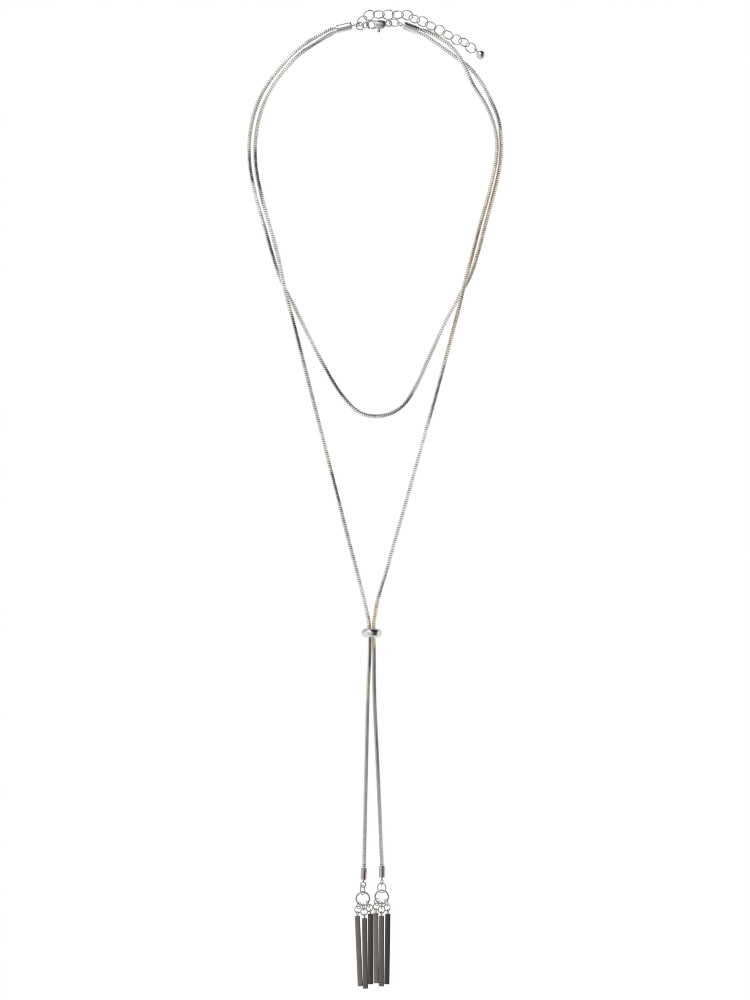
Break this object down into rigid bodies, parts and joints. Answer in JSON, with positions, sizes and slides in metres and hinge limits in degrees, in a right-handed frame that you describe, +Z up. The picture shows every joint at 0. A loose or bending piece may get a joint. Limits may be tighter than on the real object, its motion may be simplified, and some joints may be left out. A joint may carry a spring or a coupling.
{
  "type": "two-layer lariat necklace with tassels",
  "caption": "Two-layer necklace of square snake chain with a slider bead, tassels of square bars, a lobster clasp and an extender chain, laid flat.",
  "frame": {"origin": "on the surface that the necklace lies on, below the middle of its box", "axes": "+Y from the tassels to the clasp, +X to the right as seen from above, +Z up"},
  "size_m": [0.1104, 0.4208, 0.0091],
  "materials": {
    "chain_metal": "rhodium plated square snake chain",
    "polished_metal": "mirror polish",
    "ring_metal": "polished wire",
    "dark_metal": "dark gunmetal, satin"
  },
  "bodies": {
    "necklace": {"short_strand": "chain_metal", "long_strand_left": "chain_metal", "long_strand_right": "chain_metal", "end_cap_left": "polished_metal", "end_cap_right": "polished_metal", "extender_ring": "ring_metal", "catch_ring": "ring_metal", "clasp_ring": "ring_metal", "clasp_body": "polished_metal", "extender_link_1": "ring_metal", "extender_link_2": "ring_metal", "extender_link_3": "ring_metal", "extender_link_4": "ring_metal", "extender_link_5": "ring_metal", "extender_link_6": "ring_metal", "extender_link_7": "ring_metal", "extender_link_8": "ring_metal", "extender_link_9": "ring_metal", "extender_link_10": "ring_metal", "extender_link_11": "ring_metal", "extender_link_12": "ring_metal", "extender_link_13": "ring_metal", "extender_link_14": "ring_metal", "end_ball": "polished_metal", "slider_bead": "polished_metal", "crimp_cap_left": "polished_metal", "crimp_cap_right": "polished_metal", "join_ring_left": "ring_metal", "join_ring_right": "ring_metal", "gather_ring_left": "ring_metal", "gather_ring_right": "ring_metal", "upper_ring_1": "ring_metal", "upper_ring_2": "ring_metal", "upper_ring_3": "ring_metal", "upper_ring_4": "ring_metal", "upper_ring_5": "ring_metal", "upper_ring_6": "ring_metal", "lower_ring_1": "ring_metal", "lower_ring_2": "ring_metal", "lower_ring_3": "ring_metal", "lower_ring_4": "ring_metal", "lower_ring_5": "ring_metal", "lower_ring_6": "ring_metal", "bar_eye_1": "ring_metal", "bar_eye_2": "ring_metal", "bar_eye_3": "ring_metal", "bar_eye_4": "ring_metal", "bar_eye_5": "ring_metal", "bar_eye_6": "ring_metal", "bar_1": "dark_metal", "bar_2": "dark_metal", "bar_3": "dark_metal", "bar_4": "dark_metal", "bar_5": "dark_metal", "bar_6": "dark_metal"},
    "clasp_lever": {"clasp_lever": "polished_metal"}
  },
  "joints": [
    {"name": "clasp_gate", "type": "hinge", "parent": "necklace", "child": "clasp_lever", "pos_m": [0.0026, 0.204, 0.0014], "axis": [0, 0, -1], "range_deg": [0, 20], "stiffness_Nm_per_rad": 0.0002, "springref_deg": -8.59}
  ]
}
